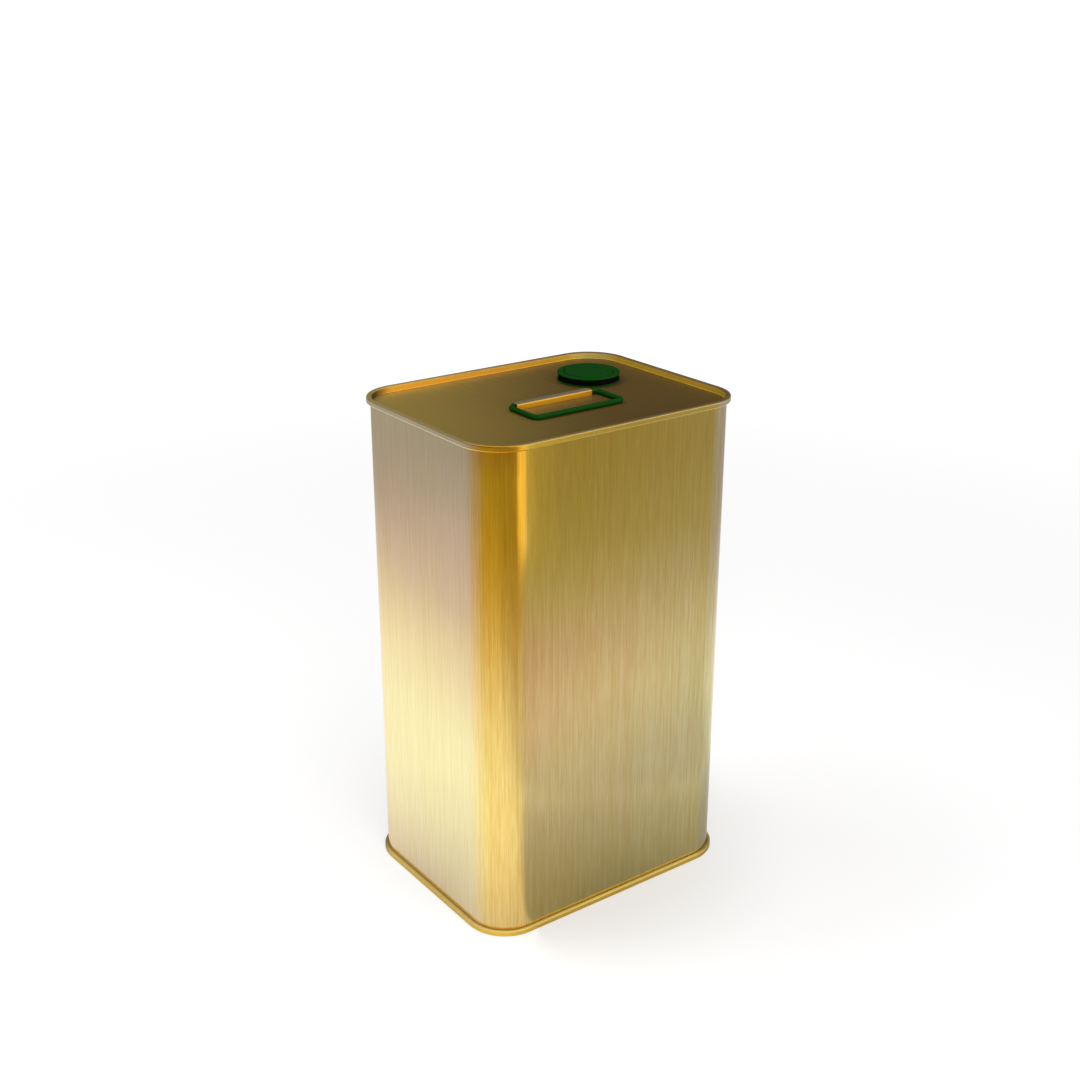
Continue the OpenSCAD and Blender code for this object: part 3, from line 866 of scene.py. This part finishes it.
# The painted shade spreads from shade_start towards shade_way, and beside the base from base_start
shade_start = (0.04, -0.15, 0)
shade_way = (0.602, -0.799, 0)
shade_cosines = (-0.67, 0.45)
base_start = (-0.05, -0.06, 0)
base_cosines = (-0.1, 0.8)
base_range = (0.12, 0.27)
mirrored_base_way = (0.85, -0.53, 0)
mirrored_base_cosines = (0.35, 0.85)
# Light that the camera's paper gets besides the lamps', near the tin and far off,
# and the painted contact shadow that dims it at the base
near_fill = 0.46
far_fill = 0.72
fill_range = (0.3, 1.4)
painted_contact_dim = 0.31
contact_range = (0.055, 0.145)

floor_corners = np.array([(-1, -1, 0), (1, -1, 0), (1, 1, 0), (-1, 1, 0)]) * floor_half
floor_mesh = bpy.data.meshes.new("floor")
floor_mesh.from_pydata(floor_corners.tolist(), [], [(0, 1, 2, 3)])
floor = bpy.data.objects.new("floor", floor_mesh)
bpy.context.scene.collection.objects.link(floor)
paper = bpy.data.materials.new("paper")
paper.use_nodes = True
tree = paper.node_tree
tree.nodes.clear()
ray = add_node(tree, "LightPath").outputs
spot = add_node(tree, "TexCoord").outputs["Object"]
out = add_node(tree, "VectorMath", {0: spot}, operation="LENGTH").outputs["Value"]


def ringed(rings):
    """A level that follows (distance, level) pairs outwards from the tin."""
    ramp = add_node(tree, "ValToRGB", {"Fac": out})
    ramp.color_ramp.elements.remove(ramp.color_ramp.elements[1])
    for ring, (distance, level) in enumerate(rings):
        stop = ramp.color_ramp.elements[0] if ring == 0 else ramp.color_ramp.elements.new(distance)
        stop.position = distance
        stop.color = (level, level, level, 1)
    return ramp.outputs["Color"]


def headed(start, way, cosines):
    """Goes from 0 to 1 as the heading from start turns towards way, between two cosines of the turn."""
    run = add_node(tree, "VectorMath", {0: spot, 1: start}, operation="SUBTRACT").outputs["Vector"]
    run = add_node(tree, "VectorMath", {0: run}, operation="NORMALIZE").outputs["Vector"]
    cosine = add_node(tree, "VectorMath", {0: run, 1: way}, operation="DOT_PRODUCT").outputs["Value"]
    return between(tree, cosine, 0, 1, *cosines)


beside = between(tree, out, 1, 0, *base_range)
by_base = work_out(tree, "MULTIPLY", headed(base_start, shade_way, base_cosines), beside)
mirrored_base = headed(base_start, mirrored_base_way, mirrored_base_cosines)
mirrored_base = work_out(tree, "MULTIPLY", mirrored_base, beside)
shade = work_out(tree, "MAXIMUM", headed(shade_start, shade_way, shade_cosines), mirrored_base)
mirrored = blend_colours(tree, shade, ringed(painted_pool_rings), ringed(painted_shade_rings))
mirror = add_node(tree, "Emission", {"Color": mirrored, "Strength": mirror_strength})

seen = work_out(tree, "MAXIMUM", ray["Is Camera Ray"], ray["Is Transmission Ray"])
white = add_node(tree, "Mix", {0: seen, 2: paper_white, 3: camera_paper}).outputs[0]
white = add_node(tree, "CombineColor", {0: white, 1: white, 2: white}).outputs[0]
lit = add_node(tree, "BsdfDiffuse", {"Color": white})
# Painted contact shadow: the camera's glow dims beside the base
contact = between(tree, out, -painted_contact_dim, 0, *contact_range)
contact = work_out(tree, "MULTIPLY_ADD", by_base, contact, 1.0)
fill = work_out(tree, "MULTIPLY", between(tree, out, near_fill, far_fill, *fill_range), contact)
fill = work_out(tree, "MULTIPLY", seen, fill)
glow = add_node(tree, "Emission", {"Color": (1, 1, 1, 1), "Strength": fill})
both = add_node(tree, "AddShader", {0: lit.outputs[0], 1: glow.outputs[0]})
either = add_node(tree, "MixShader", {0: ray["Is Glossy Ray"], 1: both.outputs[0], 2: mirror.outputs[0]})
add_node(tree, "OutputMaterial", {"Surface": either.outputs[0]})
floor_mesh.materials.append(paper)


# The lamps are three soft boxes. The strip in front is mirrored in the
# front left corner, the key behind the tin's left throws the soft shadow
# to the front, and the wide fill lights what stands upright on the top.
def soft_lamp(name, place, aim, width, height, watts):
    """Rectangular soft box at place that faces aim; the camera sees what it lights, and not the box."""
    lamp = bpy.data.objects.new(name, bpy.data.lights.new(name, "AREA"))
    lamp.data.shape = "RECTANGLE"
    lamp.data.size = width
    lamp.data.size_y = height
    lamp.data.energy = watts
    lamp.location = place
    facing = Vector(aim) - Vector(place)
    lamp.rotation_euler = facing.to_track_quat("-Z", "Y").to_euler()
    lamp.visible_camera = False
    bpy.context.scene.collection.objects.link(lamp)
    return lamp


tin_top = (0, 0, 0.25)
strip = soft_lamp("strip", (0.087, -0.443, 0.2225), (-0.06, -0.06, 0.2225),
                  width=0.20, height=0.375, watts=0.197)
strip.data.color = (1, 0.88, 1)
key = soft_lamp("key", (-0.24, 0.29, 0.74), tin_top, width=0.40, height=0.40, watts=2.5)
key.visible_glossy = False
wide = soft_lamp("fill", (-0.42, -1.12, 0.40), tin_top, width=1.2, height=0.35, watts=13.0)
wide.visible_glossy = False

# The room round the tin is a soft even light, dim low behind the tin
# and brighter in front and overhead. The camera sees it as plain white.
ahead_point = (0.55, -0.75, 0.36)
ahead_cosines = (0.55, 0.97)
dim_point = (0.68, 0.69, 0.27)
dim_cosines = (0.88, 0.985)
dimmed_by = 0.80
low_level = 0.10
high_level = 0.80
overhead_range = (0.45, 0.95)

world = bpy.data.worlds.new("room")
world.use_nodes = True
bpy.context.scene.world = world
tree = world.node_tree
tree.nodes.clear()
toward = add_node(tree, "TexCoord").outputs["Generated"]


def lobe(point, cosines):
    """Goes from 0 to 1 as a ray turns towards that point, between two cosines of the turn."""
    aim = np.array(point) / np.linalg.norm(point)
    cosine = add_node(tree, "VectorMath", {0: toward, 1: tuple(aim)}, operation="DOT_PRODUCT")
    return between(tree, cosine.outputs["Value"], 0, 1, *cosines)


height = add_node(tree, "SeparateXYZ", {0: toward}).outputs["Z"]
overhead = between(tree, height, low_level, high_level, *overhead_range)
ahead = work_out(tree, "MULTIPLY_ADD", lobe(ahead_point, ahead_cosines), 1.0, overhead)
dim = work_out(tree, "MULTIPLY_ADD", lobe(dim_point, dim_cosines), -dimmed_by, 1.0)
room = work_out(tree, "MULTIPLY", ahead, dim)
direct = add_node(tree, "LightPath").outputs["Is Camera Ray"]
level = add_node(tree, "Mix", {0: direct, 2: room, 3: 1.0}).outputs[0]
air = add_node(tree, "Background", {"Color": (1, 1, 1, 1), "Strength": level})
add_node(tree, "OutputWorld", {"Surface": air.outputs[0]})

bpy.context.scene.view_settings.view_transform = "Standard"
